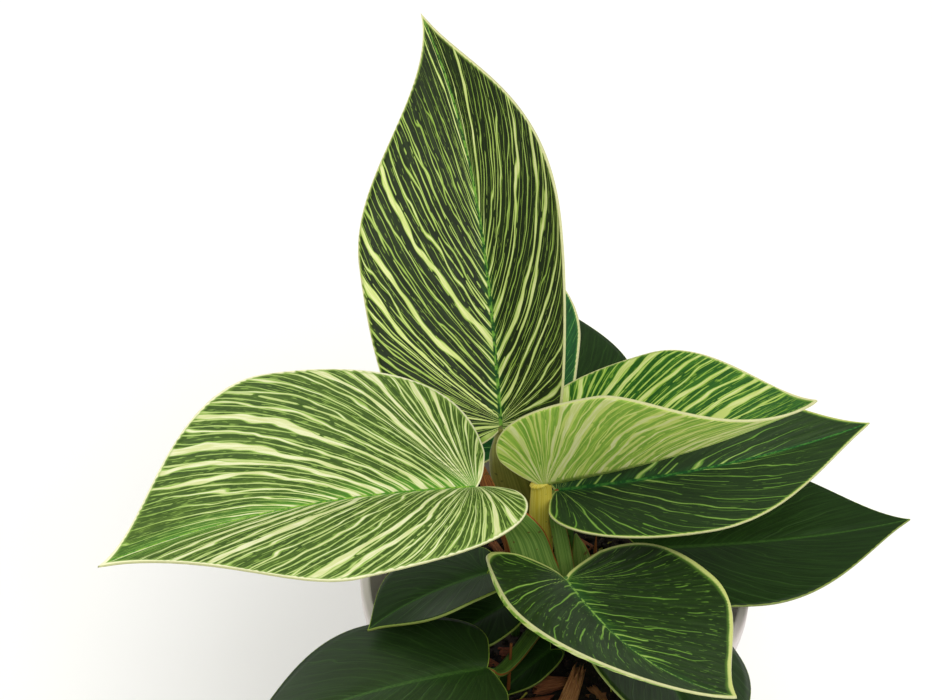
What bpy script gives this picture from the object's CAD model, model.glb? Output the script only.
import math
import random

import bmesh
import bpy
import numpy as np
from mathutils import Euler, Matrix, Vector, noise


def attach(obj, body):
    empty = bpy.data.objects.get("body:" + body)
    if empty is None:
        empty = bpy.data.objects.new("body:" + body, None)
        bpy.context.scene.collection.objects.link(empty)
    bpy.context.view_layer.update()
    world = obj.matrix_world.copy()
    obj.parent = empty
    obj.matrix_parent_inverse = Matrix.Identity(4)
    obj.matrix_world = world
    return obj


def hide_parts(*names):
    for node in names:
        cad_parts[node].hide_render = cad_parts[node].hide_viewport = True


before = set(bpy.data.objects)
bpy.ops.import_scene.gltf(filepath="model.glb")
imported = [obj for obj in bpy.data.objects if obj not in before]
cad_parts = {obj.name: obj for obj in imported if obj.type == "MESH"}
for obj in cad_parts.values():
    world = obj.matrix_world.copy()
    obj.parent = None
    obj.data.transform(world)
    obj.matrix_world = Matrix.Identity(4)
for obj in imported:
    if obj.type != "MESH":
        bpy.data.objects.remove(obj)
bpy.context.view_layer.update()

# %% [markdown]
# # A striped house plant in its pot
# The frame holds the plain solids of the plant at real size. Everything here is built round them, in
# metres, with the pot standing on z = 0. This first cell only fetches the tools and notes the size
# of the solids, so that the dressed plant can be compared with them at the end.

MM = 0.001

# %% [markdown]
# ## Helpers for pieces and materials
# Every piece of the plant is a mesh whose object sits at the origin, rides on the one body of the
# frame, and stands for one of its solids. A material is a small graph of nodes, so a few short
# helpers keep each recipe readable: one makes a node, one joins numbers by arithmetic, one turns a
# number into a colour.

# %% Helpers for pieces
def finish_piece(name, bm, materials, replaces=(), slot="petiole", smooth=True):
    mesh = bpy.data.meshes.new(name)
    bm.to_mesh(mesh)
    bm.free()
    mesh.polygons.foreach_set("use_smooth", [smooth] * len(mesh.polygons))
    piece = bpy.data.objects.new(name, mesh)
    bpy.context.scene.collection.objects.link(piece)
    for mat in materials:
        mesh.materials.append(mat)
    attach(piece, "root")
    if replaces:
        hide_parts(*replaces)
    return piece


def mix(a, b, amount):
    return a + (b - a) * amount


def cubic(points, t):
    t = np.asarray(t, float)[..., None]
    a, b, c, d = (np.asarray(p, float) for p in points)
    return (1 - t) ** 3 * a + 3 * t * (1 - t) ** 2 * b + 3 * t * t * (1 - t) * c + t ** 3 * d


# %% Helpers for materials
class Recipe:
    """One material under construction: its nodes, their links and its shader."""

    def __init__(self, name):
        self.mat = bpy.data.materials.new(name)
        self.mat.use_nodes = True
        self.tree = self.mat.node_tree
        self.shader = self.tree.nodes["Principled BSDF"]

    def node(self, kind, **settings):
        made = self.tree.nodes.new(kind)
        for key, value in settings.items():
            setattr(made, key, value)
        return made

    def put(self, value, socket):
        if hasattr(value, "is_output"):
            self.tree.links.new(value, socket)
        elif isinstance(value, tuple) and len(value) == 3 and socket.type == "RGBA":
            socket.default_value = (*value, 1.0)
        else:
            socket.default_value = value

    def math(self, operation, *values):
        made = self.node("ShaderNodeMath", operation=operation)
        for value, socket in zip(values, made.inputs):
            self.put(value, socket)
        return made.outputs[0]

    def step(self, value, low, high, out_low=0.0, out_high=1.0):
        """A soft step: out_low under low, out_high over high."""
        made = self.node("ShaderNodeMapRange", interpolation_type="SMOOTHSTEP", clamp=True)
        for number, socket in zip((value, low, high, out_low, out_high), made.inputs):
            self.put(number, socket)
        return made.outputs[0]

    def blend(self, amount, first, second):
        """The first colour where amount is 0, the second where it is 1."""
        made = self.node("ShaderNodeMix", data_type="RGBA")
        for value, index in ((amount, 0), (first, 6), (second, 7)):
            self.put(value, made.inputs[index])
        return made.outputs[2]

    def noise(self, vector, scale, detail=2.0, rough=0.5):
        made = self.node("ShaderNodeTexNoise")
        self.put(vector, made.inputs["Vector"])
        for key, value in (("Scale", scale), ("Detail", detail), ("Roughness", rough)):
            made.inputs[key].default_value = value
        return made.outputs["Fac"]

    def point(self):
        return self.node("ShaderNodeTexCoord").outputs["Object"]

    def place_on(self, uv_map):
        """The two coordinates of one of the piece's own maps."""
        split = self.node("ShaderNodeSeparateXYZ")
        self.put(self.node("ShaderNodeUVMap", uv_map=uv_map).outputs["UV"], split.inputs[0])
        return split.outputs[0], split.outputs[1]

    def attribute(self, name):
        return self.node("ShaderNodeAttribute", attribute_name=name).outputs["Fac"]

    def combine(self, x, y, z=0.0):
        made = self.node("ShaderNodeCombineXYZ")
        for value, socket in zip((x, y, z), made.inputs):
            self.put(value, socket)
        return made.outputs[0]

    def bump(self, height, distance, strength=1.0):
        made = self.node("ShaderNodeBump")
        made.inputs["Strength"].default_value = strength
        made.inputs["Distance"].default_value = distance
        self.put(height, made.inputs["Height"])
        self.put(made.outputs["Normal"], self.shader.inputs["Normal"])

    def finish(self, colour, roughness, **sockets):
        self.put(colour, self.shader.inputs["Base Color"])
        self.put(roughness, self.shader.inputs["Roughness"])
        for key, value in sockets.items():
            socket = key.replace("_", " ").title().replace("Ior", "IOR")
            self.put(value, self.shader.inputs[socket])
        return self.mat


def srgb(r, g, b):
    """A colour as seen on screen, 0 to 255, turned into the linear numbers that a shader takes."""
    lin = [c / 255 / 12.92 if c <= 10 else ((c / 255 + 0.055) / 1.055) ** 2.4 for c in (r, g, b)]
    return tuple(lin)


# %% [markdown]
# ## The camera, light and floor
# The plant is seen from above at 47 degrees, from about 0.6 m, with a long lens. The pot's rim is
# 120 mm across, so its width in the picture gives the distance, and how round it looks gives the
# height of the eye. A large soft lamp stands high at the front right, and a weaker one at the back
# left. A bright sky and a pale floor throw light back up, as on a studio table by a window.

# %% Camera
POT_HEIGHT = 110 * MM
EYE_ANGLE = math.radians(47)
EYE_DISTANCE = 620 * MM
EYE_RISE = 67 * MM
EYE_SHIFT = -27.2 * MM
LENS = 77.75

look = Vector((0, math.cos(EYE_ANGLE), -math.sin(EYE_ANGLE)))
rise = Vector((0, math.sin(EYE_ANGLE), math.cos(EYE_ANGLE)))
eye = Vector((EYE_SHIFT, 0, POT_HEIGHT)) + EYE_RISE * rise - EYE_DISTANCE * look
camera_data = bpy.data.cameras.new("camera")
camera_data.lens = LENS
camera = bpy.data.objects.new("camera", camera_data)
camera.location = eye
camera.rotation_euler = (math.pi / 2 - EYE_ANGLE, 0, 0)
bpy.context.scene.collection.objects.link(camera)
bpy.context.scene.camera = camera
print("camera at", [round(a, 3) for a in eye])

# %% Light
CROWN = Vector((0, 0, 0.15))
KEY = {"place": (0.42, -0.5, 1.4), "size": 1.3, "watts": 16, "colour": (1.0, 0.985, 0.95)}
FILL = {"place": (-0.9, 0.6, 0.9), "size": 0.9, "watts": 4, "colour": (1.0, 0.99, 0.97)}
SKY_COLOUR = (1.0, 0.99, 0.96, 1)
SKY_STRENGTH = 0.62


def lamp(name, place, size, watts, colour):
    """A round soft lamp that points at the crown of the plant."""
    data = bpy.data.lights.new(name, "AREA")
    data.shape = "DISK"
    data.size = size
    data.energy = watts
    data.color = colour
    made = bpy.data.objects.new(name, data)
    made.location = place
    made.rotation_euler = (CROWN - Vector(place)).to_track_quat("-Z", "Y").to_euler()
    bpy.context.scene.collection.objects.link(made)


lamp("key lamp", **KEY)
lamp("fill lamp", **FILL)
world = bpy.data.worlds.new("studio")
bpy.context.scene.world = world
world.use_nodes = True
sky = world.node_tree.nodes["Background"]
sky.inputs["Color"].default_value = SKY_COLOUR
sky.inputs["Strength"].default_value = SKY_STRENGTH
bpy.context.scene.view_settings.view_transform = "Standard"
print("lamps:", len(bpy.data.lights))

# %% Floor
FLOOR_SIZE = 8.0

bm = bmesh.new()
bmesh.ops.create_grid(bm, x_segments=1, y_segments=1, size=FLOOR_SIZE / 2)
floor_mesh = bpy.data.meshes.new("floor")
bm.to_mesh(floor_mesh)
bm.free()
floor = bpy.data.objects.new("floor", floor_mesh)
bpy.context.scene.collection.objects.link(floor)
paint = Recipe("floor paper")
grain = paint.noise(paint.point(), 6.0, 3.0)
floor_mesh.materials.append(
    paint.finish(paint.blend(grain, srgb(246, 246, 245), srgb(250, 250, 250)), 0.8)
)
print("floor:", FLOOR_SIZE, "m wide")

# %% [markdown]
# ## How a blade is laid out
# A blade of this plant is heart-shaped, with side veins that leave the midrib at a slant and bow
# forward to the margin. A flat grid is bent into that plan: its middle column becomes the midrib,
# and each row runs out to the margin much as a vein does, so no face is badly stretched. Then
# each half is folded up or down, curled, and carried along a bending midrib. One table of
# millimetres and degrees describes all leaves.

# %% The flat blade
SHOULDER = 0.45
BASE_VEINS = 0.10
VEIN_SPREAD = 1.3
ROW_BOW_OUT = 0.60
ROW_BOW_UP = (0.62, 0.33)
LOBE_HANDLES = (0.78, 1.02, 0.62)
TIP_HANDLES = (0.42, 0.30)


def margin_point(u, leaf):
    """Half outline: from the back of the lobe (u = 0) by the shoulder to the tip (u = 1)."""
    half, length, lobe = leaf["width"] / 2, leaf["length"], leaf["lobe"]
    widest = leaf["widest"] * length
    out, behind, under = LOBE_HANDLES
    back = cubic(
        [
            (leaf["inner"] * half, -lobe),
            (out * half, -behind * lobe),
            (half, widest - under * (widest + lobe)),
            (half, widest),
        ],
        np.clip(u / SHOULDER, 0, 1),
    )
    over, before = TIP_HANDLES
    front = cubic(
        [
            (half, widest),
            (half, widest + over * (length - widest)),
            (leaf["tip"] * half, length - before * (length - widest)),
            (0, length),
        ],
        np.clip((u - SHOULDER) / (1 - SHOULDER), 0, 1),
    )
    return np.where((np.asarray(u) < SHOULDER)[..., None], back, front)


def flat_point(u, v, leaf):
    """A point of the flat half blade, v of the way along the vein that ends at margin place u."""
    end = margin_point(u, leaf)
    in_lobe = np.clip(u / SHOULDER, 0, 1)
    ahead = np.clip((u - SHOULDER) / (1 - SHOULDER), 0, 1)
    start = leaf["length"] * (BASE_VEINS * in_lobe + (1 - BASE_VEINS) * ahead ** VEIN_SPREAD)
    bow_x = mix(leaf["notch"], ROW_BOW_OUT, in_lobe) * end[..., 0]
    bow_y = start + mix(*ROW_BOW_UP, in_lobe) * (end[..., 1] - start)
    x = 2 * v * (1 - v) * bow_x + v * v * end[..., 0]
    y = (1 - v) ** 2 * start + 2 * v * (1 - v) * bow_y + v * v * end[..., 1]
    return x, y


# %% Folding and bending
ARCH_RAMP = 1.2
FOLD_FADE = 0.35
LIP_START = 0.7
LIP_RAMP = 1.5
LIP_FADE = 0.4
ROLL_STEPS = 12
SPINE_STEPS = 80
SPINE_BEHIND = 1.3
SPINE_SPARE = 2 * MM
SPINE_BEYOND = 1.02


def rolled(u, v, side, leaf):
    """Sideways reach and height of the blade where it folds, curls and lips up from the midrib."""
    fold, curl, lip = (math.radians(a) for a in leaf["left" if side < 0 else "right"])
    half = leaf["width"] / 2
    reach = np.zeros_like(u)
    height = np.zeros_like(u)
    last_x, last_y = flat_point(u, 0 * v, leaf)
    for step in range(1, ROLL_STEPS + 1):
        x, y = flat_point(u, v * step / ROLL_STEPS, leaf)
        along = np.clip((last_y + y) / 2 / leaf["length"], 0, 1)
        fade = (1 - along) ** FOLD_FADE
        out = v * (step - 0.5) / ROLL_STEPS
        edge = np.clip((out - LIP_START) / (1 - LIP_START), 0, 1) ** LIP_RAMP
        edge *= np.sin(np.clip(u / LIP_FADE, 0, 1) * math.pi / 2) ** 2
        angle = (fold + curl * (last_x + x) / 2 / half + lip * edge) * fade
        reach += np.cos(angle) * (x - last_x)
        height += np.sin(angle) * (x - last_x)
        last_x, last_y = x, y
    return reach, height, last_y


def bent(reach, height, y, side, leaf):
    """Carry a rolled half blade along the bending midrib. +Y is its heading, +Z its upper side."""
    length = leaf["length"]
    behind = -SPINE_BEHIND * leaf["lobe"] - SPINE_SPARE
    ys = np.linspace(behind, SPINE_BEYOND * length, SPINE_STEPS)
    ahead = np.clip(ys / length, 0, None)
    dip = math.radians(leaf["arch"]) * ahead ** ARCH_RAMP
    turn = math.radians(leaf["sweep"]) * ahead ** 2
    heading = np.stack([np.sin(turn) * np.cos(dip), np.cos(turn) * np.cos(dip), -np.sin(dip)], -1)
    spine = np.zeros_like(heading)
    spine[1:] = np.cumsum(0.5 * (heading[1:] + heading[:-1]) * np.diff(ys)[:, None], 0)
    spine -= [np.interp(0, ys, spine[:, axis]) for axis in range(3)]
    centre = np.stack([np.interp(y, ys, spine[:, axis]) for axis in range(3)], -1)
    dip, turn = np.interp(y, ys, dip), np.interp(y, ys, turn)
    across = np.stack([np.cos(turn), -np.sin(turn), 0 * turn], -1)
    up = np.stack([np.sin(turn) * np.sin(dip), np.cos(turn) * np.sin(dip), np.cos(dip)], -1)
    return centre + side * reach[:, None] * across + height[:, None] * up


def leaf_matrix(leaf):
    pitch, roll, heading = leaf["pitch"], leaf["roll"], leaf["heading"] - 90
    turn = Euler([math.radians(a) for a in (pitch, roll, heading)], "YXZ")
    return Matrix.Translation(leaf["base"]) @ turn.to_matrix().to_4x4()


# %% The thirteen leaves
def leaf(base, heading, pitch, roll, length, width, arch, sweep, left, right, **more):
    """Millimetres and degrees. left and right are each side's fold, curl and lip angles."""
    shape = {"lobe": 7, "widest": 0.39, "tip": 0.21, "inner": 0.40, "notch": 0.32}
    shape.update(more)
    shape.update(heading=heading, pitch=pitch, roll=roll, arch=arch, sweep=sweep)
    shape.update(left=left, right=right, base=tuple(a * MM for a in base))
    shape.update(length=length * MM, width=width * MM, lobe=shape["lobe"] * MM)
    return shape


def stalk(foot, thick, thin, taper=0.8, slope=60, push=0):
    """Millimetres and degrees. slope is how steeply the stalk comes up under the blade's notch."""
    return {"foot": foot, "radii": (thick, thin), "taper": taper, "slope": slope, "push": push}


LEAVES = {
    "top_leaf": (
        leaf((-17, 12, 162), 96, 43, -11, 126, 74, 6, -21, (11, 3, 0), (39, 22, 30),
             widest=0.41, tip=0.12, inner=0.37, notch=0.22),
        stalk((-6, 9), 3.0, 1.7, push=0.9),
    ),
    "left_leaf": (
        leaf((-24, -10, 162), 204, 23, -3, 115, 78, 17, -11, (47, -51, 0), (11, 27, 0),
             lobe=6, widest=0.49, tip=0.10, inner=0.27),
        stalk((-11, 3), 2.6, 1.6),
    ),
    "young_leaf": (
        leaf((-5.6, -4, 156), -9, 25, 5, 89, 66, -21, -1, (8, 18, 0), (89, 16, 0),
             widest=0.41, tip=0.26),
        stalk((-4, -5), 4.8, 1.7, 0.9, slope=80, push=0.8),
    ),
    "right_leaf": (
        leaf((-1, 0, 148), 11, -4, 2, 97, 60, -17, -5, (22, -5, 0), (24, -8, 0),
             lobe=5, tip=0.26),
        stalk((8, -4), 2.4, 1.4, slope=115),
    ),
    "front_leaf": (
        leaf((1.5, -22, 135), -68, 18, -12, 84, 70, -19, -25, (5, 27, 0), (28, -24, 100),
             widest=0.34, tip=0.42),
        stalk((6, -13), 2.3, 1.5, push=0.8),
    ),
    "low_left_leaf": (
        leaf((-21, -41, 117), 196, 8, 1, 76, 48, 25, -5, (2, -9, 0), (2, -12, 0),
             lobe=3, widest=0.41, tip=0.27),
        stalk((-4, -13), 2.2, 1.2),
    ),
    "inner_left_leaf": (
        leaf((-21, -12, 124), 203, 3, 12, 41, 39, 12, -19, (16, 20, 0), (0, -18, 0), lobe=5),
        stalk((-13, -4), 1.8, 1.1, slope=25),
    ),
    "shaded_leaf": (
        leaf((-16, -14, 110), 212, -4, 5, 25, 25, 10, -3, (14, 3, 0), (8, -10, 0), lobe=4),
        stalk((-12, -11), 1.5, 0.9),
    ),
    "small_leaf": (
        leaf((-1.5, -21, 97), 220, -3, 0, 24, 14, 16, -9, (12, 5, 0), (6, -6, 0), lobe=2),
        stalk((2, -19), 1.1, 0.7),
    ),
    "low_right_leaf": (
        leaf((26, 0, 120), 0, 4, -1, 82, 56, -3, -11, (12, -9, 0), (14, -4, 0), lobe=8),
        stalk((14, -1), 2.2, 1.4, push=0.8),
    ),
    "rear_leaf": (
        leaf((5.5, 30, 133), 93, 13, 6, 63, 46, 29, 3, (10, -10, 0), (6, -16, 0)),
        stalk((5, 15), 2.0, 1.2),
    ),
    "teal_leaf": (
        leaf((-15, 26, 137), 88, 27, -9, 75, 49, 20, 18, (10, -5, 0), (21, 11, 0), tip=0.17),
        stalk((-4, 18), 2.2, 1.3),
    ),
    "low_front_leaf": (
        leaf((19, -20, 119), -66, 10, -16, 69, 53, 10, 19, (6, -17, 0), (15, 5, 0)),
        stalk((13, -9), 2.0, 1.2),
    ),
}
print("leaves:", len(LEAVES))

# %% [markdown]
# ## The side veins
# The stripes of the real leaf follow its side veins, which bow more than the rows of the grid do.
# So each vein is drawn once as a curve over the flat blade. Any point then lies between two
# veins, and gets two numbers: how far across the veins it is, and how far along its own.

# %% The side veins
VEIN_LINES = 240
LINE_STEPS = 60
VEIN_FOOT = 0.02
VEIN_LAST = 0.68
VEIN_CLIMB = 1.5
VEIN_BOW_OUT = (0.75, 0.88)
VEIN_BOW_UP = 0.3
VEIN_BOW_LEAN = (-0.1, 0.4)
VEIN_MIDDLE = 0.6
MARGIN_STEPS = 220
TINY = 1e-9


def side_vein(u, v, leaf):
    """A point of the side vein that meets the margin at place u: it bows forward along the margin."""
    end = margin_point(u, leaf)
    in_lobe = np.clip(u / SHOULDER, 0, 1)
    ahead = np.clip((u - SHOULDER) / (1 - SHOULDER), 0, 1)
    climb = (VEIN_LAST - VEIN_FOOT) * ahead ** VEIN_CLIMB
    start = leaf["length"] * (VEIN_FOOT * in_lobe + climb)
    bow_x = mix(*VEIN_BOW_OUT, in_lobe) * end[..., 0]
    bow_y = start + VEIN_BOW_UP * (end[..., 1] - start) + mix(*VEIN_BOW_LEAN, in_lobe) * end[..., 0]
    x = 2 * v * (1 - v) * bow_x + v * v * end[..., 0]
    y = (1 - v) ** 2 * start + 2 * v * (1 - v) * bow_y + v * v * end[..., 1]
    return x, y


def vein_layout(x, y, leaf):
    """For points of the flat blade: how far across the veins each lies, and how far along its own."""
    u = np.linspace(0, 1, VEIN_LINES)
    steps = np.linspace(0, 1, LINE_STEPS)
    lines = [side_vein(np.full_like(steps, place), steps, leaf) for place in u]
    heights = np.array([np.interp(x, line_x, line_y) for line_x, line_y in lines])
    heights = np.maximum.accumulate(heights, 0)
    below = np.clip((heights < y).sum(0) - 1, 0, VEIN_LINES - 2)
    low = np.take_along_axis(heights, below[None], 0)[0]
    high = np.take_along_axis(heights, below[None] + 1, 0)[0]
    between = np.clip((y - low) / np.maximum(high - low, TINY), 0, 1)
    place = (below + between) / (VEIN_LINES - 1)
    middle_x, middle_y = side_vein(u, np.full_like(u, VEIN_MIDDLE), leaf)
    gaps = np.hypot(np.diff(middle_x), np.diff(middle_y))
    across = np.interp(place, u, np.concatenate([[0], np.cumsum(gaps)]))
    foot = side_vein(place, 0 * place, leaf)[1]
    return across, np.hypot(x, y - foot)


def edge_distance(x, y, leaf):
    """How far each point of the flat blade lies from the margin."""
    steps = np.linspace(0, 1, MARGIN_STEPS)
    notch_x, notch_y = flat_point(0 * steps, steps, leaf)
    end = margin_point(steps, leaf)
    edge_x, edge_y = np.append(notch_x, end[:, 0]), np.append(notch_y, end[:, 1])
    return np.sqrt(((x[:, None] - edge_x) ** 2 + (y[:, None] - edge_y) ** 2).min(1))


# %% [markdown]
# ## Making a blade
# The grid operator gives the rows and columns, and each vertex is then moved to its place on the
# bent blade. On the way the vertices are told how far they are from the midrib and from the margin,
# and the map called vein keeps which vein they belong to and how far along it they are. The real
# blade has a channel over the midrib and shallow ribs over the side veins, so both are in the mesh.
# Solidify makes it 0.7 mm thick, with a paler underside and rim as further materials.

# %% Making a blade
BLADE_THICKNESS = 0.7 * MM
CHANNEL_DEPTH = 0.5 * MM
CHANNEL_WIDTH = 1.3 * MM
RIB_SPACING = 4.4 * MM
RIB_RISE = 0.2
RIB_MARGIN = 4 * MM
VEIN_MAP_UNIT = 100 * MM
MAP_HALF_GAP = 0.1
MAIN_GRAIN = {"rows": 150, "columns": 22, "rib_height": 0.09 * MM}
PLAIN_GRAIN = {"rows": 90, "columns": 14, "rib_height": 0.03 * MM}


def make_blade(name, leaf, materials, slot, rows, columns, rib_height):
    bm = bmesh.new()
    bmesh.ops.create_grid(bm, x_segments=2 * columns, y_segments=rows, size=1)
    vein = bm.loops.layers.uv.new("vein")
    mid = bm.verts.layers.float.new("mid")
    edge = bm.verts.layers.float.new("edge")
    ahead = bm.verts.layers.float.new("ahead")
    verts = bm.verts[:]
    place = np.array([vert.co[:] for vert in verts])
    u, v = (place[:, 1] + 1) / 2, np.abs(place[:, 0])
    x, y = flat_point(u, v, leaf)
    measure, along = vein_layout(x, y, leaf)
    rim = edge_distance(x, y, leaf)
    forward = np.clip(y / leaf["length"], 0, 1)
    ribs = rib_height * np.cos(2 * math.pi * measure / RIB_SPACING)
    ribs *= np.clip(v / RIB_RISE, 0, 1) * np.clip(rim / RIB_MARGIN, 0, 1)
    channel = CHANNEL_DEPTH * np.exp(-(x / CHANNEL_WIDTH) ** 2) * (1 - forward) ** 0.5
    for side in (-1, 1):
        reach, height, rolled_y = rolled(u, v, side, leaf)
        shape = bent(reach, height + ribs - channel, rolled_y, side, leaf)
        for index, vert in enumerate(verts):
            if place[index, 0] * side > 0 or (place[index, 0] == 0 and side > 0):
                vert.co = shape[index]
    for index, vert in enumerate(verts):
        vert[mid], vert[edge], vert[ahead] = x[index] / MM, rim[index] / MM, forward[index]
    index_of = {vert: index for index, vert in enumerate(verts)}
    for face in bm.faces:
        side = 1 if sum(place[index_of[vert], 0] for vert in face.verts) > 0 else -1
        for loop in face.loops:
            index = index_of[loop.vert]
            across = side * (measure[index] / VEIN_MAP_UNIT + MAP_HALF_GAP)
            loop[vein].uv = (across, along[index] / VEIN_MAP_UNIT)
    tip_row = [vert for vert, row in zip(verts, u) if row > 1 - 0.5 / rows]
    bmesh.ops.pointmerge(bm, verts=tip_row, merge_co=tip_row[0].co)
    bmesh.ops.transform(bm, matrix=leaf_matrix(leaf), verts=bm.verts[:])
    piece = finish_piece(name, bm, materials, (name + "_blade",), slot)
    solid = piece.modifiers.new("thickness", "SOLIDIFY")
    solid.thickness = BLADE_THICKNESS
    solid.offset = -1
    solid.material_offset = 1
    solid.material_offset_rim = 2


# %% [markdown]
# ## The colours of a blade
# The stripes of this plant are rows of cells without green, laid along the side veins. On the map
# called vein they are straight lines, so a comb draws them: the place across the veins is cut into
# equal steps, each step's own random number sets the width of its stripe, and slow noise makes the
# stripes wander, swell and break. A broad comb, a fine comb and a dashed hairline lie one over the
# other. Each stripe has a lime fringe round a cream core. The margin and the midrib are drawn from
# the distances kept in the mesh.

# %% Streaks and combs
STREAK_ROUGHNESS = 0.55
WANDER_SPACING = 2.2
WANDER_REACH = 22.0
WANDER_STEPS = 1.6
FAVOUR_THIN = 2.2
STEP_APART = 3.7
SWELL_ROUGHNESS = 0.6
SWELL_TO_WIDTH = (1.6, 0.2)
GAP_SOFTNESS = 0.03
GAP_CLOSING = 0.6


def streaks(r, across, along, spacing, reach, seed, detail=2.0):
    """A noise that changes every few spacing millimetres across the veins and reach along them."""
    quick = r.math("MULTIPLY", across, VEIN_MAP_UNIT / MM / spacing)
    slow = r.math("MULTIPLY", along, VEIN_MAP_UNIT / MM / reach)
    return r.noise(r.combine(quick, slow, seed), 1.0, detail, STREAK_ROUGHNESS)


def comb(r, across, along, spacing, seed, widths, breaks, gap):
    """Lines along the veins: over 0 inside a line, under 0 outside. A line stops where its swell,
    a noise round 0.5, is under gap."""
    wander = streaks(r, across, along, WANDER_SPACING * spacing, WANDER_REACH, seed)
    number = r.math("MULTIPLY", across, VEIN_MAP_UNIT / MM / spacing)
    number = r.math("MULTIPLY_ADD", wander, WANDER_STEPS, number)
    step = r.math("FLOOR", number)
    off = r.math("ABSOLUTE", r.math("SUBTRACT", r.math("FRACT", number), 0.5))
    pick = r.node("ShaderNodeTexWhiteNoise", noise_dimensions="1D")
    r.put(r.math("ADD", step, seed), pick.inputs["W"])
    chance = r.math("POWER", pick.outputs["Value"], FAVOUR_THIN)
    width = r.math("MULTIPLY_ADD", chance, widths[1] - widths[0], widths[0])
    slow = r.math("MULTIPLY", along, VEIN_MAP_UNIT / MM / breaks)
    own_row = r.math("MULTIPLY", step, STEP_APART)
    swell = r.noise(r.combine(own_row, slow, seed), 1.0, 2.0, SWELL_ROUGHNESS)
    width = r.math("MULTIPLY", width, r.math("MULTIPLY_ADD", swell, *SWELL_TO_WIDTH))
    closed = r.step(swell, gap - GAP_SOFTNESS, gap + GAP_SOFTNESS, GAP_CLOSING, 0.0)
    width = r.math("SUBTRACT", width, closed)
    return r.math("SUBTRACT", r.math("MULTIPLY", width, 0.5), off)


# %% The stripes
GROUND_STREAK = (1.1, 14.0)
HAIR_STREAK = (0.5, 3.4)
TINT_STREAK = (0.9, 9.0)
GRAIN_SCALE = 1500.0
GRAIN_SHARE = 0.35
FINE_PER_BROAD = 2.2
FINE_BREAKS = 9.0
BROAD_BREAKS = 30.0
TIP_FROM = 0.6
TIP_THINNING = 0.09
GLOW_RAGGED = -6.0
GLOW_NARROWING = 4.0


def side_veins(r, look, across, along, mid, ahead):
    """The striped colour between midrib and margin, and the height of its stripes for the bump."""
    seed = look["seed"]
    crowd = look["crowd"] * MM / VEIN_MAP_UNIT
    thicker = r.step(along, 0.0, crowd, look["crowding"], 0.0)
    thicker = r.math("SUBTRACT", thicker, r.step(ahead, TIP_FROM, 1.0, 0.0, TIP_THINNING))
    ground_noise = streaks(r, across, along, *GROUND_STREAK, seed + 3.1, 3.0)
    grain = r.noise(r.point(), GRAIN_SCALE, 2.0)
    ground = r.blend(r.step(ground_noise, 0.40, 0.68), look["dark"], look["green"])
    ground = r.blend(r.math("MULTIPLY", grain, GRAIN_SHARE), ground, look["green"])
    far = r.math("MULTIPLY_ADD", ground_noise, GLOW_RAGGED, mid)
    far = r.math("MULTIPLY_ADD", ahead, GLOW_NARROWING, far)
    glow = r.step(far, -3.0, look["glow_width"], look["glowing"], 0.0)
    ground = r.blend(glow, ground, look["glow"])
    hair = streaks(r, across, along, *HAIR_STREAK, seed + 7.3, 1.0)
    hair = r.step(hair, look["hair"], look["hair"] + 0.07)
    colour = r.blend(r.math("MULTIPLY", hair, look["hair_strength"]), ground, look["lime"])

    spacing, own_seed, gap = look["spacing"] / FINE_PER_BROAD, seed + 2.9, look["fine_gap"]
    fine = comb(r, across, along, spacing, own_seed, look["fine"], FINE_BREAKS, gap)
    fine = r.math("ADD", thicker, fine)
    colour = r.blend(r.step(fine, -0.05, 0.03), colour, look["lime"])
    colour = r.blend(r.step(fine, 0.0, 0.1, 0.0, look["fine_pale"]), colour, look["cream"])

    spacing, gap = look["spacing"], look["broad_gap"]
    broad = comb(r, across, along, spacing, seed, look["broad"], BROAD_BREAKS, gap)
    broad = r.math("ADD", thicker, broad)
    tint = r.step(streaks(r, across, along, *TINT_STREAK, seed + 9.7), 0.42, 0.62)
    pale = r.blend(tint, look["cream"], look["pale"])
    colour = r.blend(r.step(broad, -0.05, 0.0), colour, look["lime"])
    colour = r.blend(r.step(broad, 0.0, 0.05), colour, pale)
    return colour, r.math("ADD", ground_noise, r.step(broad, -0.05, 0.06))


# %% The paint of a blade
RIB_TAPER = -0.7
RIB_MOTTLE = 60.0
RIB_EDGE = (0.6, 1.2)
MARGIN_WAVER = (1.6, 0.2)
STRIPE_RELIEF = 0.1 * MM
RIM_SHADE = 0.7


def blade_paint(name, look):
    r = Recipe(name)
    across, along = r.place_on("vein")
    mid, edge, ahead = (r.attribute(key) for key in ("mid", "edge", "ahead"))
    colour, height = side_veins(r, look, across, along, mid, ahead)

    full = look["midrib_width"]
    width = r.math("MULTIPLY_ADD", ahead, RIB_TAPER * full, full)
    spotted = r.combine(r.math("MULTIPLY", ahead, RIB_MOTTLE), across, look["seed"])
    mottle = r.noise(spotted, 1.0, 3.0)
    rib_colour = r.blend(r.step(mottle, 0.42, 0.58), look["midrib_dark"], look["midrib"])
    uneven = r.math("MULTIPLY", mid, r.math("MULTIPLY_ADD", mottle, 0.8, 0.6))
    rib = r.step(r.math("DIVIDE", uneven, width), *RIB_EDGE, 1.0, 0.0)
    colour = r.blend(rib, colour, rib_colour)
    slow = r.noise(r.point(), 60.0, 2.0)
    ragged = r.math("DIVIDE", edge, r.math("MULTIPLY_ADD", slow, *MARGIN_WAVER))
    margin = look["margin_width"]
    fringe = r.step(ragged, margin, 1.9 * margin + 0.2, look["fringe"], 0.0)
    colour = r.blend(fringe, colour, look["lime"])
    band = r.step(ragged, 0.75 * margin, 1.3 * margin, 1.0, 0.0)
    colour = r.blend(band, colour, look["margin"])
    r.bump(height, STRIPE_RELIEF, 0.5)
    rough = r.step(slow, 0.3, 0.7, look["gloss"], look["gloss"] + 0.08)
    return r.finish(colour, rough, specular_ior_level=look["shine"])


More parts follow.
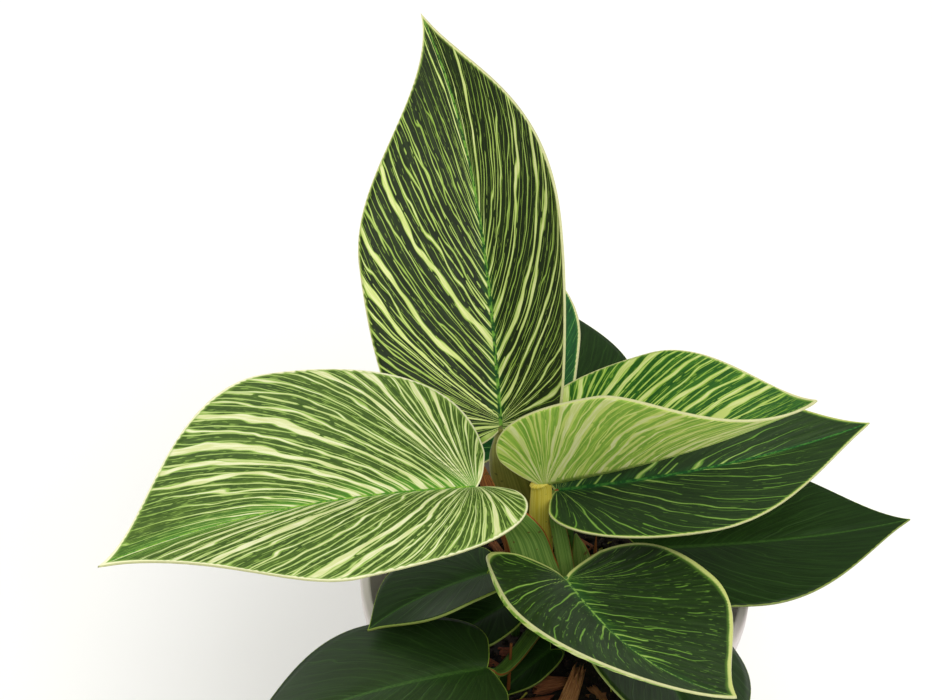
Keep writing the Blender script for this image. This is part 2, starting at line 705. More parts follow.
def rim_paint(name, colour):
    r = Recipe(name)
    speck = r.noise(r.point(), 900.0, 2.0)
    darker = tuple(RIM_SHADE * c for c in colour)
    return r.finish(r.blend(speck, darker, colour), 0.45)


# %% [markdown]
# ## One look for each leaf
# Every blade shares one recipe, and a table of colours and measures tells the leaves apart: old
# leaves are nearly plain, the left one is mostly cream, and the young one is lime below. Widths
# and spacings are in millimetres. broad and fine give a stripe's least and greatest width as a
# share of its step, and a gap is how much of the noise leaves the stripe out.

# %% Leaf looks
STRIPED_TOP = {
    "dark": srgb(22, 34, 9), "green": srgb(38, 54, 16), "lime": srgb(138, 170, 66),
    "cream": srgb(196, 210, 124), "pale": srgb(218, 224, 156),
    "spacing": 4.8, "broad": (0.06, 0.40), "broad_gap": 0.2, "fine": (0.06, 0.24),
    "fine_gap": 0.38, "fine_pale": 0.7, "hair": 0.65, "hair_strength": 0.55,
    "crowd": 12.0, "crowding": 0.05, "glow": srgb(34, 92, 32), "glow_width": 2.0, "glowing": 0.6,
    "midrib": srgb(110, 160, 56), "midrib_dark": srgb(24, 72, 26), "midrib_width": 0.7,
    "margin": srgb(208, 208, 150), "margin_width": 0.42, "fringe": 0.6,
    "seed": 1.0, "gloss": 0.48, "shine": 0.16,
}
UNDERSIDE = {
    **STRIPED_TOP,
    "dark": srgb(98, 144, 44), "green": srgb(136, 174, 60), "lime": srgb(172, 198, 84),
    "cream": srgb(190, 206, 112), "pale": srgb(208, 216, 148), "seed": 4.0,
    "spacing": 6.0, "broad": (0.15, 0.6), "fine": (0.1, 0.4), "hair_strength": 0.3,
    "glow": srgb(160, 190, 80), "midrib": srgb(180, 200, 104), "midrib_dark": srgb(160, 188, 88),
    "midrib_width": 1.2, "margin": srgb(204, 208, 138), "gloss": 0.5, "shine": 0.2,
}
YOUNG_UNDERSIDE = {
    **UNDERSIDE,
    "dark": srgb(116, 162, 60), "green": srgb(160, 196, 80), "lime": srgb(196, 214, 104),
    "cream": srgb(208, 218, 136), "pale": srgb(224, 228, 168), "seed": 5.5,
    "spacing": 4.0, "broad": (0.1, 0.66), "fine": (0.1, 0.5), "fine_pale": 0.4,
    "hair": 0.6, "margin": srgb(214, 214, 150), "margin_width": 0.35,
}
LOOKS = {
    "top_leaf": {"seed": 2.4, "spacing": 5.4, "dark": srgb(20, 32, 8), "green": srgb(34, 50, 14)},
    "left_leaf": {
        "seed": 11.7, "spacing": 5.0, "broad": (0.12, 0.56), "fine": (0.12, 0.38), "hair": 0.58,
        "dark": srgb(50, 74, 26), "green": srgb(78, 104, 38), "lime": srgb(142, 174, 80),
        "cream": srgb(200, 206, 146), "pale": srgb(220, 222, 180), "fine_gap": 0.34,
        "glow": srgb(84, 148, 44), "glow_width": 5.0, "glowing": 0.8,
        "midrib": srgb(132, 178, 60), "midrib_dark": srgb(72, 130, 40), "midrib_width": 0.55,
        "margin": srgb(232, 232, 190), "margin_width": 0.5,
    },
    "young_leaf": {
        "seed": 21.2, "spacing": 5.2, "broad": (0.1, 0.62), "fine": (0.12, 0.4), "hair": 0.6,
        "dark": srgb(30, 78, 24), "green": srgb(60, 112, 36), "lime": srgb(138, 178, 62),
        "cream": srgb(192, 206, 116), "pale": srgb(212, 220, 148), "glow": srgb(90, 150, 50),
    },
    "right_leaf": {
        "seed": 31.9, "spacing": 7.0, "broad": (0.02, 0.07), "broad_gap": 0.42,
        "fine": (-0.04, 0.1), "fine_gap": 0.48, "hair": 0.68, "hair_strength": 0.5,
        "dark": srgb(26, 48, 16), "green": srgb(40, 64, 22), "fine_pale": 0.3,
        "lime": srgb(98, 142, 50), "cream": srgb(156, 180, 92), "pale": srgb(176, 196, 112),
        "glow": srgb(28, 86, 34), "midrib": srgb(60, 120, 44), "midrib_dark": srgb(22, 76, 30),
        "margin": srgb(176, 186, 100), "margin_width": 0.4,
    },
    "front_leaf": {
        "seed": 41.3, "spacing": 6.4, "broad": (0.0, 0.08), "broad_gap": 0.48,
        "fine": (-0.04, 0.1), "fine_gap": 0.5, "hair": 0.655, "hair_strength": 0.6,
        "dark": srgb(24, 44, 14), "green": srgb(38, 62, 22), "fine_pale": 0.3,
        "lime": srgb(104, 148, 54), "cream": srgb(150, 178, 86), "pale": srgb(170, 192, 106),
        "crowd": 14.0, "crowding": 0.045, "glow": srgb(44, 92, 32), "glow_width": 3.0,
        "midrib": srgb(128, 172, 72), "midrib_dark": srgb(40, 84, 30), "midrib_width": 0.5,
        "margin": srgb(196, 204, 122), "margin_width": 0.95,
    },
    "teal_leaf": {
        "seed": 51.5, "broad": (0.0, 0.1), "broad_gap": 0.5, "fine": (0.0, 0.08), "hair": 0.68,
        "fine_gap": 0.5, "fine_pale": 0.0, "dark": srgb(16, 64, 28), "green": srgb(28, 90, 40),
        "lime": srgb(80, 138, 64), "cream": srgb(110, 156, 80), "pale": srgb(130, 170, 90),
    },
}
PLAIN = {
    **STRIPED_TOP,
    "dark": srgb(22, 42, 12), "green": srgb(30, 54, 18), "lime": srgb(38, 64, 22),
    "cream": srgb(38, 66, 22), "pale": srgb(40, 68, 24), "broad": (0.0, 0.1), "fine": (0.0, 0.06),
    "hair": 0.68, "hair_strength": 0.2, "crowding": 0.0, "glow": srgb(38, 68, 24),
    "midrib": srgb(52, 84, 32), "midrib_dark": srgb(42, 72, 26), "midrib_width": 0.7,
    "margin": srgb(130, 152, 56), "margin_width": 0.2, "fringe": 0.3, "gloss": 0.38,
    "shine": 0.1,
}
GLOSSY = {"low_left_leaf": 0.4, "low_front_leaf": 0.3}
PLAIN_UNDERSIDE = {
    **PLAIN, "dark": srgb(60, 86, 42), "green": srgb(78, 104, 52), "lime": srgb(92, 120, 60),
    "cream": srgb(100, 126, 66), "pale": srgb(104, 130, 70), "glow": srgb(92, 120, 60),
    "midrib": srgb(116, 142, 78), "midrib_dark": srgb(104, 130, 70), "gloss": 0.5, "shine": 0.2,
}

# %% [markdown]
# ## The thirteen blades
# Each leaf of the table becomes one piece that stands for its plain solid. The striped ones take a
# fine grid, so that their ribs show. The plain ones are smoother, so fewer faces are enough.

# %% The thirteen blades
SEED_START = 61.0
SEED_STEP = 5

plain_rim = rim_paint("plain rim", srgb(128, 144, 62))
striped_rim = rim_paint("striped rim", srgb(206, 208, 150))
plain_under = blade_paint("plain underside", PLAIN_UNDERSIDE)
striped_under = blade_paint("striped underside", UNDERSIDE)
young_under = blade_paint("young underside", YOUNG_UNDERSIDE)
for number, (name, (shape, _)) in enumerate(LEAVES.items()):
    if name in LOOKS:
        top = blade_paint(name.replace("_", " "), {**STRIPED_TOP, **LOOKS[name]})
        slot = "young_leaf" if name == "young_leaf" else "striped_leaf"
        under = young_under if name == "young_leaf" else striped_under
        make_blade(name, shape, [top, under, striped_rim], slot, **MAIN_GRAIN)
    else:
        shine = GLOSSY.get(name, PLAIN["shine"])
        look = {**PLAIN, "seed": SEED_START + SEED_STEP * number, "shine": shine}
        top = blade_paint(name.replace("_", " "), look)
        make_blade(name, shape, [top, plain_under, plain_rim], "plain_leaf", **PLAIN_GRAIN)

# %% [markdown]
# ## Leaf stalks
# Each blade stands on a stalk that is channelled on the side facing the stem and wider at its
# foot, where it clasps the stem. A circle is extruded ring by ring along a curve, and each ring is
# pressed in on one side. The map called stalk holds the place round and along it, for the streaks.

# %% Leaf stalks
SOIL_TOP = 90 * MM
STALK_RINGS = 40
STALK_SIDES = 20
STALK_SUNK = 5 * MM
COLLAR_RISE = 2 * MM
BASE_GAP = 0.2 * MM
END_BACK = 0.4
END_LENGTH = 0.9 * MM
STALK_HANDLES = (0.45, 0.35)
CHANNEL_HALF_ANGLE = 0.8


def stalk_path(shape, stem):
    turn = leaf_matrix(shape)
    slope = math.radians(stem["slope"])
    thin = stem["radii"][1] * MM
    drop = BLADE_THICKNESS + BASE_GAP + thin * abs(math.cos(slope))
    aim = turn.to_3x3() @ Vector((0, math.cos(slope), math.sin(slope)))
    end = turn @ Vector((0, -END_BACK * thin, -drop)) + stem["push"] * MM * aim
    x, y = stem["foot"]
    foot = Vector((x * MM, y * MM, SOIL_TOP - STALK_SUNK))
    collar = Vector((x * MM, y * MM, SOIL_TOP + COLLAR_RISE))
    span = (end - collar).length
    low, high = STALK_HANDLES
    bend = [collar, collar + Vector((0, 0, low * span)), end - aim * high * span, end]
    along = np.linspace(0, 1, STALK_RINGS - 1)
    return [foot] + [Vector(p) for p in cubic(bend, along)] + [end + END_LENGTH * aim]


def sweep_tube(bm, path, radii, widths, facing, press=0.0):
    """Extrude a ring along a path. radii are its reach to the facing side and back, widths its
    reach across, and press sinks a channel into the facing side."""
    layer = bm.loops.layers.uv.get("stalk") or bm.loops.layers.uv.new("stalk")
    ring = bmesh.ops.create_circle(bm, segments=STALK_SIDES, radius=1.0)["verts"]
    edges = list({e for vert in ring for e in vert.link_edges})
    caps = bmesh.ops.contextual_create(bm, geom=edges)["faces"]
    number = {vert: index for index, vert in enumerate(ring)}
    far, length, side = {}, 0.0, Vector(facing)
    for step, place in enumerate(path):
        ahead = (path[min(step + 1, len(path) - 1)] - path[max(step - 1, 0)]).normalized()
        side = (side - side.dot(ahead) * ahead).normalized()
        across = ahead.cross(side)
        if step:
            length += (place - path[step - 1]).length
            grown = bmesh.ops.extrude_edge_only(bm, edges=edges)["geom"]
            ring = [part for part in grown if isinstance(part, bmesh.types.BMVert)]
            edges = [part for part in grown if isinstance(part, bmesh.types.BMEdge)]
            for vert in ring:
                backs = [e.other_vert(vert) for e in vert.link_edges]
                number[vert] = next(number[back] for back in backs if back in far)
        for vert in ring:
            angle = 2 * math.pi * number[vert] / STALK_SIDES
            off = min(angle, 2 * math.pi - angle)
            pressed = press * math.exp(-((off / CHANNEL_HALF_ANGLE) ** 2))
            reach = radii[step] * math.cos(angle) * (1 - pressed)
            vert.co = place + reach * side + widths[step] * math.sin(angle) * across
            far[vert] = length
    caps += bmesh.ops.contextual_create(bm, geom=edges)["faces"]
    for face in {face for vert in number for face in vert.link_faces}.difference(caps):
        wraps = {0, STALK_SIDES - 1} <= {number[loop.vert] for loop in face.loops}
        for loop in face.loops:
            turn = number[loop.vert] or (STALK_SIDES if wraps else 0)
            loop[layer].uv = (turn / STALK_SIDES, far[loop.vert] / VEIN_MAP_UNIT)


def smooth_rows(rows, count):
    """A smooth curve through rows of millimetres: x, y, z, thickness radius, width radius."""
    rows = np.array(rows, float) * MM
    rows = np.vstack([2 * rows[0] - rows[1], rows, 2 * rows[-1] - rows[-2]])
    out = []
    for place in np.linspace(0, len(rows) - 3, count):
        first = min(int(place), len(rows) - 4)
        t = place - first
        a, b, c, d = rows[first : first + 4]
        bend = 2 * a - 5 * b + 4 * c - d
        out.append(0.5 * (2 * b + (c - a) * t + bend * t**2 + (3 * b - a - 3 * c + d) * t**3))
    path = [Vector([float(x) for x in row[:3]]) for row in out]
    return path, [float(row[3]) for row in out], [float(row[4]) for row in out]


# %% [markdown]
# ## The colours of the stalks
# A stalk has fine streaks along its length, so the noise is read on the surface of a cylinder: it
# changes fast round the stalk and slowly along it. Low down it has one pair of colours and high
# up another. Dark specks and a brown line on each edge are what age leaves on a sheath.

# %% The colours of the stalks
STREAK_ROUND = (6.0, 6.0, 1.0)
SPECK_SCALE = 500.0
SPECK_SHARE = 0.7
EDGE_WAVER = 0.06
EDGE_SOFTNESS = 0.02
STREAK_RELIEF = 0.15 * MM


def stalk_paint(name, look):
    r = Recipe(name)
    turns, along = r.place_on("stalk")
    angle = r.math("MULTIPLY", turns, 2 * math.pi)
    rim = r.math("ABSOLUTE", r.math("SINE", angle))
    ring = r.combine(r.math("SINE", angle), r.math("COSINE", angle), look["seed"])
    stretched = r.node("ShaderNodeVectorMath", operation="MULTIPLY_ADD")
    r.put(ring, stretched.inputs[0])
    stretched.inputs[1].default_value = STREAK_ROUND
    r.put(r.combine(0.0, 0.0, along), stretched.inputs[2])
    streak = r.noise(stretched.outputs[0], 2.0, 4.0)
    high = r.step(along, *look["fade"])
    low_colour = r.blend(r.step(streak, 0.42, 0.62), look["dark"], look["green"])
    high_colour = r.blend(r.step(streak, 0.42, 0.6), look["upper"], look["upper_pale"])
    colour = r.blend(high, low_colour, high_colour)
    speck = r.step(r.noise(r.point(), SPECK_SCALE, 1.0), 0.70, 0.74)
    colour = r.blend(r.math("MULTIPLY", speck, SPECK_SHARE), colour, look["speck"])
    uneven = r.math("MULTIPLY_ADD", r.noise(r.point(), 130.0, 2.0), EDGE_WAVER, rim)
    line = r.step(uneven, look["edge_from"], look["edge_from"] + EDGE_SOFTNESS)
    colour = r.blend(line, colour, look["edge"])
    r.bump(streak, STREAK_RELIEF, 0.5)
    return r.finish(colour, look["gloss"], specular_ior_level=0.3)


STALK_LOOK = {
    "dark": srgb(56, 94, 38), "green": srgb(92, 134, 58), "upper": srgb(80, 120, 46),
    "upper_pale": srgb(116, 150, 66), "speck": srgb(52, 64, 26), "fade": (0.2, 0.5), "seed": 1.0,
    "edge": srgb(150, 66, 22), "edge_from": 1.2, "gloss": 0.42,
}
stalk_paints = {
    "green": stalk_paint("green stalk", STALK_LOOK),
    "yellow": stalk_paint(
        "yellow stalk",
        {**STALK_LOOK, "dark": srgb(150, 152, 56), "green": srgb(176, 172, 72),
         "upper": srgb(196, 178, 58), "upper_pale": srgb(212, 200, 92), "seed": 4.0},
    ),
    "olive": stalk_paint(
        "olive stalk",
        {**STALK_LOOK, "dark": srgb(80, 86, 34), "green": srgb(104, 108, 48),
         "upper": srgb(104, 106, 42), "upper_pale": srgb(126, 126, 58), "seed": 7.0,
         "edge": srgb(120, 96, 44), "edge_from": 1.02},
    ),
    "sheath": stalk_paint(
        "sheath",
        {**STALK_LOOK, "dark": srgb(92, 122, 48), "green": srgb(136, 160, 76),
         "upper": srgb(86, 122, 50), "upper_pale": srgb(126, 156, 76), "seed": 9.0,
         "speck": srgb(96, 44, 22), "edge_from": 0.995},
    ),
    "winged": stalk_paint(
        "winged stalk",
        {**STALK_LOOK, "dark": srgb(64, 96, 38), "green": srgb(100, 132, 58),
         "upper": srgb(70, 106, 42), "upper_pale": srgb(104, 136, 62), "seed": 12.0,
         "edge": srgb(128, 78, 34), "edge_from": 1.0},
    ),
    "husk": stalk_paint(
        "dry husk",
        {**STALK_LOOK, "dark": srgb(104, 58, 22), "green": srgb(150, 92, 38), "seed": 15.0,
         "upper": srgb(112, 64, 26), "upper_pale": srgb(166, 108, 50), "gloss": 0.75},
    ),
}
print("stalk paints:", len(stalk_paints))

# %% [markdown]
# ## The thirteen stalks
# Most stalks rise from their foot in one arch and end under their blade. Four of them clasp each
# other in plain sight, so their course is given row by row: place, thickness and width. A table
# of wings says how much wider than thick a stalk is at its foot, halfway and at its top.

# %% The thirteen stalks
STALK_COLOURS = {
    "young_leaf": "yellow", "top_leaf": "olive", "left_leaf": "sheath", "right_leaf": "sheath",
    "low_left_leaf": "winged", "low_front_leaf": "winged", "low_right_leaf": "winged",
}
WINGS = {
    "young_leaf": (1, 1, 1.8), "front_leaf": (1.5, 1.5, 1.3),
    "low_left_leaf": (1.3, 1.6, 1.7), "low_right_leaf": (1.4, 1.6, 1.5),
    "low_front_leaf": (1.4, 1.5, 1.5),
}
NO_WINGS = (1, 1, 1)
CLASPING_TOP = 1.3
CLOSED_END = 0.4
STEM_AXIS = Vector((0, 4 * MM, 0))
CLASPING = {
    "top_leaf": [
        (-6, 9, 85, 2.6, 5.0), (-7.5, 8, 112, 2.3, 6.0), (-11, 6.5, 135, 2.0, 6.6),
        (-14, 6.3, 149, 1.8, 6.3), (-15.8, 7.6, 156.5, 1.6, 4.8),
    ],
    "left_leaf": [
        (-1, -8, 85, 2.2, 4.6), (-2, -9, 108, 2.0, 6.0), (-6.9, -10.2, 127, 1.8, 6.3),
        (-10.3, -10.6, 141, 1.6, 5.8), (-16, -11, 152, 1.5, 4.0),
    ],
    "young_leaf": [
        (-4, -5, 85, 3.2, 4.4), (-4.6, -5, 110, 3.0, 4.2), (-5.2, -4.8, 132, 2.6, 3.6),
        (-5.4, -4.4, 146, 2.2, 3.3),
    ],
    "right_leaf": [
        (6, -6, 85, 2.0, 3.2), (4, -8, 108, 1.9, 3.0), (2.0, -9, 126, 1.7, 2.6),
        (0.3, -8, 137, 1.6, 2.4), (-1.2, -5, 144, 1.5, 2.0),
    ],
}
for name, (shape, stem) in LEAVES.items():
    path = stalk_path(shape, stem)
    facing = STEM_AXIS - Vector((*stem["foot"], 0)) * MM
    if name in CLASPING:
        thin = stem["radii"][1]
        top = WINGS.get(name, (1, 1, CLASPING_TOP))[2] * thin
        ends = [(*(place / MM), thin, top) for place in (path[-3], path[-1])]
        path, radii, widths = smooth_rows(CLASPING[name] + ends, STALK_RINGS)
        facing = Vector((0, 1, 0))
    else:
        thick, thin = (radius * MM for radius in stem["radii"])
        along = np.linspace(0, 1, len(path) - 1)
        radii = [thick] + [float(mix(thick, thin, t ** stem["taper"])) for t in along]
        rows = np.linspace(0, 1, len(path))
        wing = np.interp(rows, (0, 0.5, 1), WINGS.get(name, NO_WINGS))
        widths = [float(a * b) for a, b in zip(radii, wing)]
    radii[-1] *= CLOSED_END
    widths[-1] *= CLOSED_END
    bm = bmesh.new()
    sweep_tube(bm, path, radii, widths, facing, press=0.5)
    bmesh.ops.recalc_face_normals(bm, faces=bm.faces[:])
    paint = stalk_paints[STALK_COLOURS.get(name, "green")]
    finish_piece(name + "_stalk", bm, [paint], (name + "_petiole",))
print("stalks:", len(LEAVES))

# %% [markdown]
# ## The crown
# The stalks clasp a short stem. Old leaves leave things behind there: dried brown scales that once
# wrapped a bud, a green stub with a red-brown edge, and a thread or two. They are swept like the
# stalks, only flat and pointed. The stem itself is a stout tube with a rounded top.

# %% Crown
CROWN_RINGS = 24
CROWN_PRESS = 0.3


def swept_piece(name, forms, paint, replaces=()):
    """One piece of flat or round strands, each given by rows of place, thickness and width."""
    bm = bmesh.new()
    for rows in forms:
        path, radii, widths = smooth_rows(rows, CROWN_RINGS)
        sweep_tube(bm, path, radii, widths, (0, 1, 0), press=CROWN_PRESS)
    bmesh.ops.recalc_face_normals(bm, faces=bm.faces[:])
    return finish_piece(name, bm, [stalk_paints[paint]], replaces)


swept_piece(
    "crown_stem",
    [[(2, 5, 86, 3.9, 3.9), (2, 5, 96, 3.7, 3.7), (2, 5, 107, 3.4, 3.4), (2, 5, 112, 1.2, 1.2)]],
    "green",
    ("main_stem",),
)
swept_piece(
    "dry_scales",
    [
        [(-13, 0, 118, 0.5, 2.0), (-17.5, 1, 136, 0.4, 2.4), (-21.3, 1, 150, 0.4, 2.0),
         (-23.6, 1, 161.5, 0.2, 0.3)],
        [(-9, -6, 105, 0.5, 2.5), (-13, -7.5, 124, 0.5, 2.2), (-16.3, -8, 137.5, 0.2, 0.3)],
        [(12.5, 1, 96, 0.4, 0.6), (12, 0, 118, 0.3, 0.5), (12, 0, 126, 0.1, 0.1)],
        [(-14.6, -34, 90, 0.6, 0.6), (-14.4, -33, 102, 0.5, 0.5), (-14, -31.5, 115, 0.4, 0.4)],
        [(-2, 15, 92, 0.5, 2.6), (-5, 17, 108, 0.5, 2.2), (-9, 17, 124, 0.2, 0.3)],
    ],
    "husk",
)
swept_piece(
    "old_stub",
    [[(9, -4, 88, 1.6, 3.4), (8.4, -4, 112, 1.3, 3.2), (7.2, -4, 123, 1.0, 2.6),
      (5.4, -4, 132, 0.3, 0.4)]],
    "sheath",
)

# %% [markdown]
# ## The pot
# A nursery pot is one moulding of even wall, widest at a rolled lip. Its outline is drawn once as a
# chain of edges and spun round the axis.

# %% The pot
RIM_RADIUS = 60 * MM
BASE_RADIUS = 42.5 * MM
WALL = 2.0 * MM
POT_FLOOR = 2.6 * MM
LIP_HEIGHT = 7 * MM
LIP_OUT = 1.2 * MM
LIP_LIFT = 0.3 * MM
FOOT_ROUND = 2 * MM
FOOT_FLAT = 6 * MM
INNER_FOOT = 5 * MM
WALL_RINGS = 12
POT_STEPS = 128
SAME_PLACE = 0.005 * MM


def outer_radius(z):
    return mix(BASE_RADIUS, RIM_RADIUS - LIP_OUT, z / POT_HEIGHT)


def inner_radius(z):
    return outer_radius(z) - WALL


def spin_outline(outline, steps):
    bm = bmesh.new()
    verts = [bm.verts.new((r, 0, z)) for r, z in outline]
    edges = [bm.edges.new(pair) for pair in zip(verts, verts[1:])]
    bmesh.ops.spin(
        bm, geom=verts + edges, cent=(0, 0, 0), axis=(0, 0, 1), dvec=(0, 0, 0),
        angle=2 * math.pi, steps=steps, use_merge=True, use_duplicate=False,
    )
    bmesh.ops.remove_doubles(bm, verts=bm.verts[:], dist=SAME_PLACE)
    bmesh.ops.recalc_face_normals(bm, faces=bm.faces[:])
    return bm


def rounded(corner_r, corner_z, radius, start, stop, steps=6):
    """Part of a circle of the outline round a centre, from one angle to another in degrees."""
    angles = [math.radians(mix(start, stop, k / steps)) for k in range(steps + 1)]
    return [(corner_r + radius * math.cos(a), corner_z + radius * math.sin(a)) for a in angles]


lip = POT_HEIGHT - LIP_HEIGHT
half_wall = WALL / 2
brim = POT_HEIGHT - half_wall
outline = [(0, 0), (BASE_RADIUS - FOOT_FLAT, 0)]
outline += rounded(BASE_RADIUS - FOOT_ROUND, FOOT_ROUND, FOOT_ROUND, -90, -5)
outline += [(outer_radius(z), z) for z in np.linspace(FOOT_FLAT, lip, WALL_RINGS)]
outline += rounded(RIM_RADIUS - LIP_OUT, lip + LIP_OUT + LIP_LIFT, LIP_OUT, -80, 0, 4)
outline += rounded(RIM_RADIUS - half_wall, brim, half_wall, 0, 90)
outline += rounded(inner_radius(POT_HEIGHT) + half_wall, brim, half_wall, 90, 180)
outline += [(inner_radius(z), z) for z in np.linspace(lip, INNER_FOOT, WALL_RINGS)]
outline += [(inner_radius(POT_FLOOR) - FOOT_ROUND, POT_FLOOR), (0, POT_FLOOR)]

# %% The pot's plastic
r = Recipe("pot plastic")
mottle = r.noise(r.point(), 30.0, 4.0)
speck = r.step(r.noise(r.point(), 1400.0, 2.0), 0.68, 0.74)
colour = r.blend(mottle, srgb(198, 188, 186), srgb(214, 206, 204))
colour = r.blend(r.math("MULTIPLY", speck, 0.25), colour, srgb(170, 160, 156))
r.bump(r.noise(r.point(), 900.0, 3.0), 0.05 * MM, 0.4)
pot_paint = r.finish(colour, 0.42)
pot = finish_piece("pot_shell", spin_outline(outline, POT_STEPS), [pot_paint], ("pot",), "pot")
print("pot faces:", len(pot.data.polygons))

# %% [markdown]
# ## The soil
# The top of the soil is a spun disc whose rings are lifted by noise: slow waves for mounds, and
# two finer ones for clods and grain. It lies over the plain solid, which gets the same finish.

# %% Soil top
SOIL_EDGE = inner_radius(SOIL_TOP) - 0.3 * MM
SOIL_RINGS = 48
SOIL_STEPS = 120
SOIL_SKIN = 2.2 * MM
SOIL_LIFT = 0.9 * MM
SOIL_WAVES = ((1.4 * MM, 60), (0.9 * MM, 260), (0.4 * MM, 700))


def soil_height(x, y):
    here = Vector((x, y, 0.0))
    mound, clods, grit = (height * noise.noise(here * often) for height, often in SOIL_WAVES)
    return SOIL_TOP + SOIL_LIFT + mound + (clods + grit)


outline = [(SOIL_EDGE * k / SOIL_RINGS, SOIL_TOP) for k in range(SOIL_RINGS + 1)]
outline += [(SOIL_EDGE, SOIL_TOP - SOIL_SKIN), (0, SOIL_TOP - SOIL_SKIN)]
bm = spin_outline(outline, SOIL_STEPS)
for vert in bm.verts:
    if vert.co.z > SOIL_TOP - SOIL_SKIN / 2:
        vert.co.z = soil_height(vert.co.x, vert.co.y)

# %% The soil's finish
r = Recipe("potting soil")
clod = r.noise(r.point(), 420.0, 5.0, 0.65)
colour = r.blend(r.step(clod, 0.35, 0.7), srgb(11, 8, 6), srgb(44, 31, 23))
fibre = r.step(r.noise(r.point(), 1500.0, 2.0), 0.64, 0.72)
colour = r.blend(r.math("MULTIPLY", fibre, 0.6), colour, srgb(96, 66, 44))
r.bump(clod, 0.6 * MM, 1.0)
soil_paint = r.finish(colour, 0.92)
finish_piece("soil_top", bm, [soil_paint], (), "soil")


def dress_node(node, mat):
    """Give a solid of the frame a finish, through its object's material slots."""
    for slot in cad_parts[node].material_slots:
        slot.link = "OBJECT"
        slot.material = mat


dress_node("soil", soil_paint)
print("soil rings:", SOIL_RINGS)

# %% [markdown]
# ## Crumbs of soil
# A bare noisy disc reads as clay, so loose crumbs lie on it. Each is a small ball, squashed and
# dented by noise, and the smaller ones have fewer faces. The draws are seeded, so every run
# scatters them alike.

# %% Crumbs of soil
CRUMBS = 1300
CRUMB_SIZES = (0.5, 1.9)
CRUMB_SEED = 5
CRUMB_LIFT = 0.3
CRUMB_DENT = 0.35
DENT_OFTEN = 900
SCATTER_EDGE = SOIL_EDGE - 1.5 * MM

random.seed(CRUMB_SEED)


def scatter(count, inner=0.0):
    """Random places on the soil, evenly thick over its area."""
    for _ in range(count):
        far = math.sqrt(mix(inner ** 2, SCATTER_EDGE ** 2, random.random()))
        turn = 2 * math.pi * random.random()
        yield far * math.cos(turn), far * math.sin(turn)


bm = bmesh.new()
for x, y in scatter(CRUMBS):
    size = mix(*CRUMB_SIZES, random.random() ** 2) * MM
    turn = Euler([random.random() * 6 for _ in range(3)]).to_matrix().to_4x4()
    place = Matrix.Translation((x, y, soil_height(x, y) + CRUMB_LIFT * size))
    squash = Matrix.Diagonal((1, mix(0.6, 1, random.random()), mix(0.5, 0.9, random.random()), 1))
    made = bmesh.ops.create_icosphere(
        bm, subdivisions=2 if size > MM else 1, radius=size, matrix=place @ turn @ squash
    )
    for vert in made["verts"]:
        vert.co += CRUMB_DENT * size * noise.noise_vector(vert.co * DENT_OFTEN)
finish_piece("soil_crumbs", bm, [soil_paint], (), "soil", smooth=False)
print("crumbs:", CRUMBS)

# %% [markdown]
# ## Surface roots
# Thin pale roots creep away from the stem over the soil. Each one turns a little at every step,
# follows the ground, thins towards its end and dips into the soil there.

# %% Surface roots
ROOT_STEPS = 6
ROOT_TURN = 26
ROOT_RADII = (0.5, 0.3)
ROOT_LIFT = 0.3
ROOT_DIP = 1.5
FRONT_ROOTS = ((-8, -30, 215, 22), (-3, -24, 250, 24), (12, -18, 300, 20))
ROOT_RING = 15
ROOT_RING_Y = 4


def root_rows(x, y, heading, length):
    """A thin root that wanders over the soil, in millimetres and degrees."""
    rows = []
    for step in range(ROOT_STEPS + 1):
        radius = ROOT_RADII[0] - ROOT_RADII[1] * step / ROOT_STEPS
        z = soil_height(x * MM, y * MM) / MM + ROOT_LIFT
        if step == ROOT_STEPS:
            z -= ROOT_DIP
        rows.append((x, y, z, radius, radius))
        heading += ROOT_TURN * (random.random() - 0.5)
        x += length / ROOT_STEPS * math.cos(math.radians(heading))
        y += length / ROOT_STEPS * math.sin(math.radians(heading))
    return rows


roots = [root_rows(*root) for root in FRONT_ROOTS]
for turn in range(20, 200, 30):
    x = ROOT_RING * math.cos(math.radians(turn))
    y = ROOT_RING_Y + ROOT_RING * math.sin(math.radians(turn))
    roots.append(root_rows(x, y, turn, mix(12, 24, random.random())))
swept_piece("surface_roots", roots, "yellow")
print("roots:", len(roots))

# %% [markdown]
# ## Bark
# Splinters of bark lie on the soil. A cube is cut into a fine grid, narrowed at one end, torn at
# both and pulled into fibres by noise. Its own map runs along the grain, so the streaks of the
# finish follow the splinter however it is turned, and a tone kept in the mesh makes it pale or dark.

# %% The bark's finish
GRAIN_STRETCH = (2.5, 22.0)

r = Recipe("bark")
length_way, cross_way = r.place_on("grain")
length_way = r.math("MULTIPLY", length_way, GRAIN_STRETCH[0])
cross_way = r.math("MULTIPLY", cross_way, GRAIN_STRETCH[1])
fibre = r.noise(r.combine(length_way, cross_way), 1.0, 4.0, 0.6)
light = r.blend(r.step(fibre, 0.35, 0.65), srgb(150, 84, 42), srgb(214, 158, 104))
dark = r.blend(r.step(fibre, 0.35, 0.65), srgb(64, 24, 12), srgb(150, 64, 32))
r.bump(fibre, 0.5 * MM, 1.0)
bark_paint = r.finish(r.blend(r.attribute("tone"), dark, light), 0.8)

# %% Making bark
BARK_CUTS = 7
GRAIN_SHIFT = 90
NARROW_END = 0.5
TEAR = 0.55
FIBRE_HEIGHT = 0.16
WARP = 0.10
BARK_DENT = 0.05


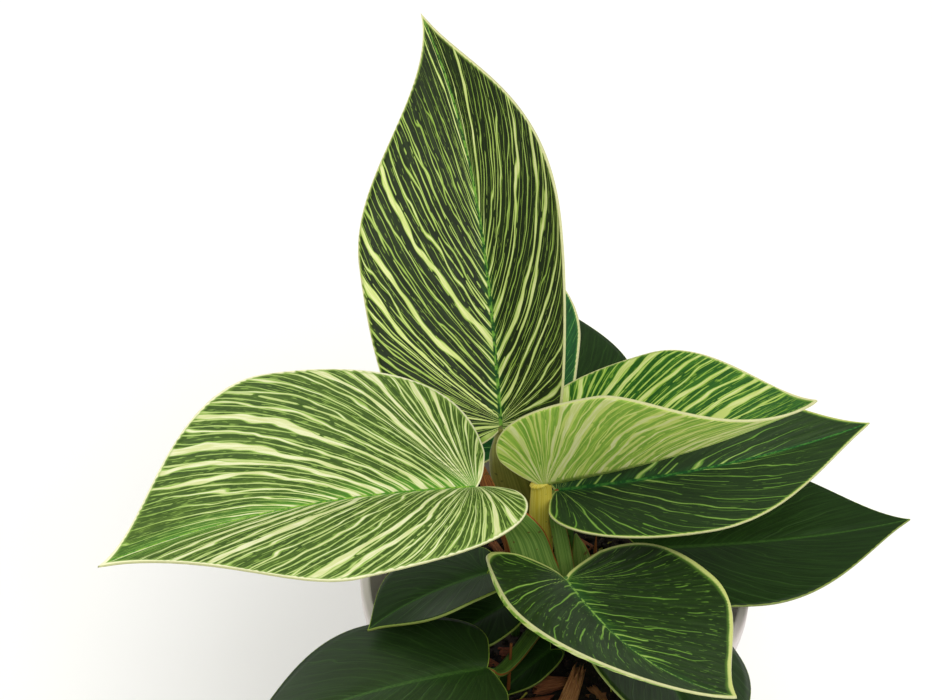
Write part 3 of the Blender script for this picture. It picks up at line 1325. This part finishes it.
def add_bark(bm, place, turn, size, pale):
    """A splinter: a cube cut fine, tapered, pulled into fibres, with torn ends."""
    grain_map = bm.loops.layers.uv.get("grain") or bm.loops.layers.uv.new("grain")
    tone_layer = bm.verts.layers.float.get("tone") or bm.verts.layers.float.new("tone")
    for vert in bm.verts:
        vert.tag = True
    made = bmesh.ops.create_cube(bm, size=1)
    edges = list({e for vert in made["verts"] for e in vert.link_edges})
    bmesh.ops.subdivide_edges(bm, edges=edges, cuts=BARK_CUTS, use_grid_fill=True)
    verts = [vert for vert in bm.verts if not vert.tag]
    shift = place * GRAIN_SHIFT
    for face in {face for vert in verts for face in vert.link_faces}:
        for loop in face.loops:
            co = loop.vert.co
            loop[grain_map].uv = (co.x + shift.x, co.y + 0.6 * co.z + shift.y)
    seed = Vector((place.x * 500, place.y * 500, 0))
    for vert in verts:
        co = vert.co
        fibres = noise.noise(Vector((co.x * 1.2, co.y * 9, co.z * 5)) + seed)
        ragged = noise.noise(Vector((0, co.y * 7, co.z * 3)) + seed)
        narrow = mix(1, NARROW_END, co.x + 0.5)
        torn = 1 + TEAR * ragged * abs(2 * co.x) ** 3
        flat = Vector((co.x * torn, co.y * narrow, co.z * narrow + FIBRE_HEIGHT * fibres))
        flat.z += WARP * math.sin(3 * co.x + place.x * 700)
        flat += BARK_DENT * noise.noise_vector(co * 6 + seed)
        vert[tone_layer] = pale
        vert.co = place + turn @ Vector([a * b for a, b in zip(flat, size)])


def bark_piece(name, chips, replaces=()):
    """Splinters lying on the soil, each given by place, heading, tilt, size and paleness."""
    bm = bmesh.new()
    for (x, y), heading, tilt, size, pale in chips:
        turn = Euler((0, math.radians(tilt), math.radians(heading))).to_matrix()
        size = [a * MM for a in size]
        place = Vector((x * MM, y * MM, soil_height(x * MM, y * MM) + 0.5 * size[2]))
        add_bark(bm, place, turn, size, pale)
    finish_piece(name, bm, [bark_paint], replaces, "bark")


# %% The bark
CHIPS = {
    "pale": ((2.5, -40), 68, -26, (22, 7.5, 4), 0.9),
    "dark": ((-8.5, -41), 20, 4, (14, 9, 4.5), 0.1),
    "rear": ((-2, -31), 10, 3, (10, 6, 3), 0.35),
    "side": ((24, -36), 130, -3, (14, 7, 4), 0.25),
}
LITTER = 46
LITTER_FROM = 20 * MM
LITTER_SIZES = ((3, 9), (1.2, 4), (0.8, 2))
LITTER_TILT = 12

for key, chip in CHIPS.items():
    bark_piece("bark_" + key, [chip], (key + "_bark_chip",))
litter = []
for x, y in scatter(LITTER, inner=LITTER_FROM):
    size = [mix(*limits, random.random()) for limits in LITTER_SIZES]
    heading = 360 * random.random()
    tilt = 2 * LITTER_TILT * random.random() - LITTER_TILT
    litter.append(((x / MM, y / MM), heading, tilt, size, random.random() ** 2))
bark_piece("bark_litter", litter)
print("bark litter:", len(litter))
